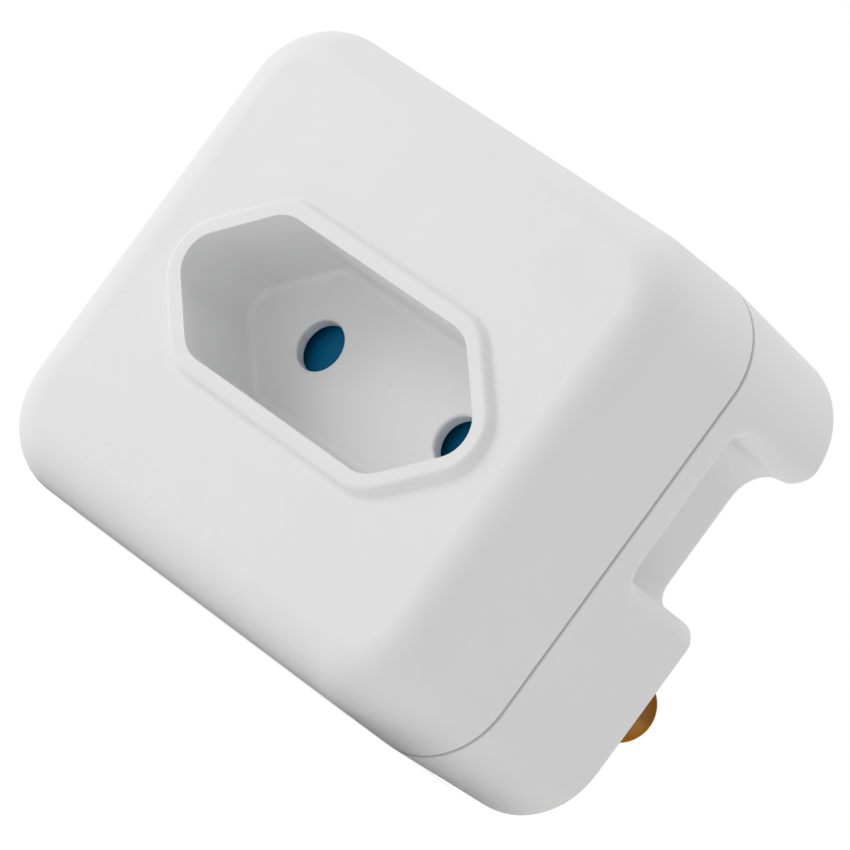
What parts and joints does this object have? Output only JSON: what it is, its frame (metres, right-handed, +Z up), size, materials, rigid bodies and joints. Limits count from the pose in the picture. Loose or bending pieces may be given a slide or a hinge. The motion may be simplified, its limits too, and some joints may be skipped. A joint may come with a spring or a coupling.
{
  "type": "switched plug adapter",
  "caption": "White round-pin plug adapter with a recessed, shuttered outlet for flat or round euro plugs, finger grips and a side rocker switch.",
  "frame": {"origin": "on the wall face of the rear housing, behind the centre of the outlet", "axes": "+Y towards the wall, along the plug pins; +X to the viewer's right; +Z up, towards the earth pin"},
  "size_m": [0.0573, 0.0634, 0.0494],
  "materials": {
    "white_housing": "fine matte moulded white polycarbonate",
    "white_rocker": "satin moulded white polycarbonate",
    "blue_shutter": "moulded dark blue nylon",
    "pin_brass": "turned brass, slightly dulled",
    "nut_brass": "plain turned brass",
    "strap_brass": "stamped brass strip",
    "contact_brass": "rolled spring brass",
    "screw_steel": "zinc-plated steel",
    "axle_steel": "bright drawn steel",
    "spring_steel": "oiled spring steel",
    "contact_silver": "dull silver alloy",
    "plunger_plastic": "black moulded acetal",
    "carrier_plastic": "natural moulded nylon"
  },
  "bodies": {
    "housing": {"front_housing": "white_housing", "rear_housing": "white_housing", "live_pin": "pin_brass", "neutral_pin": "pin_brass", "earth_pin": "pin_brass", "pin_nuts": "nut_brass", "housing_screws": "screw_steel", "carrier_screws": "screw_steel", "shutter_spring": "spring_steel", "contact_carrier": "carrier_plastic", "live_socket_contact": "contact_brass", "neutral_socket_contact": "contact_brass", "contact_clips": "spring_steel", "live_strap": "strap_brass", "neutral_strap": "strap_brass", "switched_strap": "strap_brass", "rocker_axle": "axle_steel", "fixed_tip": "contact_silver", "switch_frame": "carrier_plastic"},
    "shutter": {"shutter": "blue_shutter"},
    "rocker": {"rocker": "white_rocker", "plunger_spring": "spring_steel"},
    "plunger": {"rocker_plunger": "plunger_plastic"},
    "lever": {"contact_lever": "strap_brass", "lever_tip": "contact_silver"}
  },
  "joints": [
    {"name": "shutter_slide", "type": "slide", "parent": "housing", "child": "shutter", "axis": [1, 0, 0], "range_m": [0, 0.0066], "stiffness_N_per_m": 150, "springref_m": -0.001, "deforming": ["shutter_spring"]},
    {"name": "rocker_pivot", "type": "hinge", "parent": "housing", "child": "rocker", "pos_m": [-0.0245, -0.0251, -0.0105], "axis": [0, 1, 0], "range_deg": [0, 14]},
    {"name": "plunger_slide", "type": "slide", "parent": "rocker", "child": "plunger", "axis": [-0.9925, 0, -0.1219], "range_m": [0, 0.0006], "stiffness_N_per_m": 300, "springref_m": -0.0002, "deforming": ["plunger_spring"]},
    {"name": "lever_pivot", "type": "hinge", "parent": "housing", "child": "lever", "pos_m": [-0.0172, -0.0251, -0.0105], "axis": [0, 1, 0], "range_deg": [-14, 0]}
  ],
  "couplings": [
    {"joint": "lever_pivot", "follows": "rocker_pivot", "ratio": -1}
  ]
}
